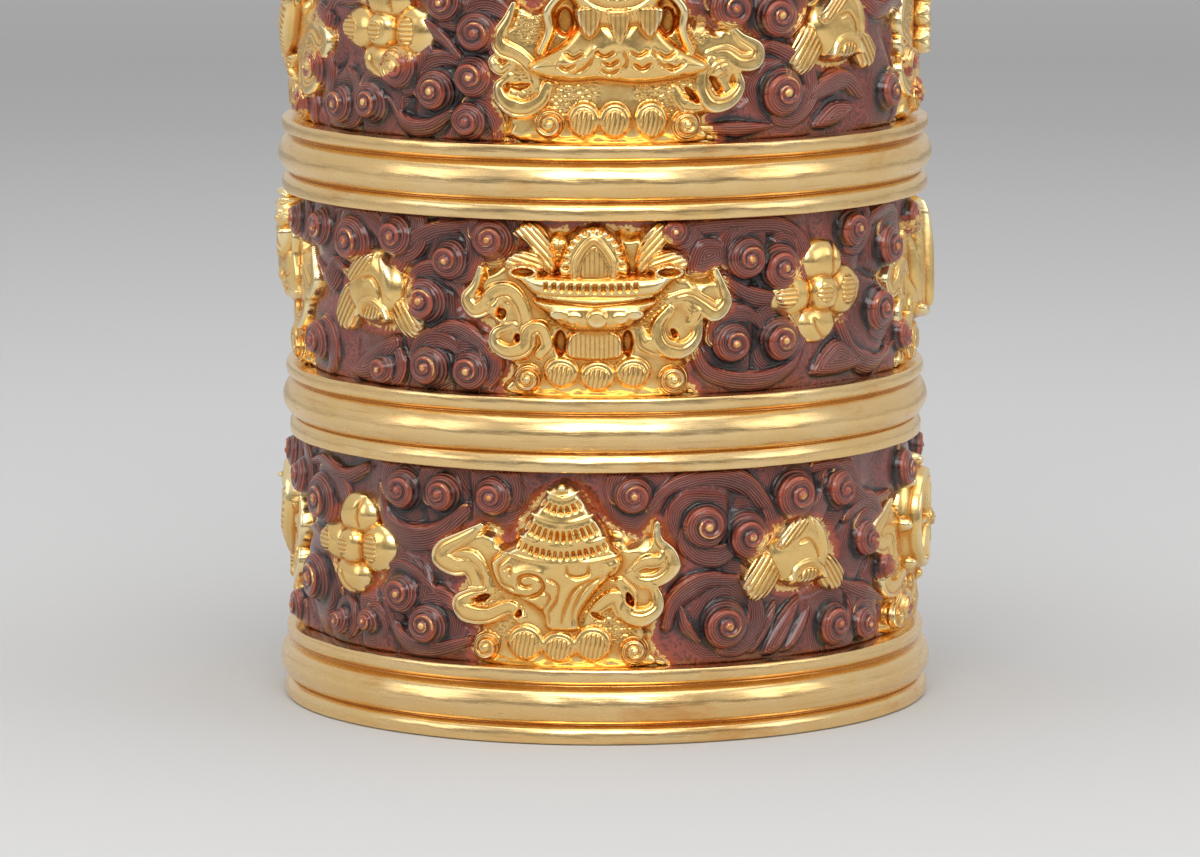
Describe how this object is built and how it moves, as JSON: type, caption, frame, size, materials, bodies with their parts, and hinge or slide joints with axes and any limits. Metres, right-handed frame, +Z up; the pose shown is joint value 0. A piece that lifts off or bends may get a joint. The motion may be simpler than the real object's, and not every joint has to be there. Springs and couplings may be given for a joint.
{
  "type": "rice offering pot",
  "caption": "Straight round offering pot of stacking relief tiers, each with a gilt moulding at its foot, closed by a domed lid with a jewel finial.",
  "frame": {"origin": "centre of the pot's axis, on the surface that its foot rests on", "axes": "+Z up along the pot's axis, -Y towards the viewer of the picture, +X to the viewer's right"},
  "size_m": [0.1564, 0.1564, 0.2551],
  "materials": {
    "gilt_copper": "fire-gilt, worn",
    "painted_copper": "red-brown lacquer over gilt copper, satin",
    "bare_copper": "dull, darkened"
  },
  "bodies": {
    "base_tier": {"floor_plate": "bare_copper", "foot_moulding": "gilt_copper", "tier_1_blossom_1": "gilt_copper", "tier_1_blossom_2": "gilt_copper", "tier_1_bud_1": "gilt_copper", "tier_1_bud_2": "gilt_copper", "tier_1_conch_emblem": "gilt_copper", "tier_1_fishes_emblem": "gilt_copper", "tier_1_knot_emblem": "gilt_copper", "tier_1_wall": "painted_copper", "tier_1_wheel_emblem": "gilt_copper"},
    "middle_tier": {"tier_2_banner_emblem": "gilt_copper", "tier_2_blossom_1": "gilt_copper", "tier_2_blossom_2": "gilt_copper", "tier_2_bud_1": "gilt_copper", "tier_2_bud_2": "gilt_copper", "tier_2_lotus_emblem": "gilt_copper", "tier_2_moulding": "gilt_copper", "tier_2_parasol_emblem": "gilt_copper", "tier_2_seat_ring": "bare_copper", "tier_2_vase_emblem": "gilt_copper", "tier_2_wall": "painted_copper"},
    "upper_tier": {"tier_3_banner_emblem": "gilt_copper", "tier_3_blossom_1": "gilt_copper", "tier_3_blossom_2": "gilt_copper", "tier_3_bud_1": "gilt_copper", "tier_3_bud_2": "gilt_copper", "tier_3_fishes_emblem": "gilt_copper", "tier_3_lotus_emblem": "gilt_copper", "tier_3_moulding": "gilt_copper", "tier_3_seat_ring": "bare_copper", "tier_3_vase_emblem": "gilt_copper", "tier_3_wall": "painted_copper"},
    "lid": {"finial_collar": "gilt_copper", "finial_jewel": "gilt_copper", "finial_lotus": "gilt_copper", "finial_nut": "bare_copper", "finial_stud": "bare_copper", "lid_dome": "painted_copper", "lid_moulding": "gilt_copper", "lid_seat_ring": "bare_copper"}
  },
  "joints": [
    {"name": "middle_tier_lift", "type": "slide", "parent": "base_tier", "child": "middle_tier", "axis": [0, 0, 1], "range_m": [0, 0.04]},
    {"name": "upper_tier_lift", "type": "slide", "parent": "middle_tier", "child": "upper_tier", "axis": [0, 0, 1], "range_m": [0, 0.04]},
    {"name": "lid_lift", "type": "slide", "parent": "upper_tier", "child": "lid", "axis": [0, 0, 1], "range_m": [0, 0.08]}
  ]
}
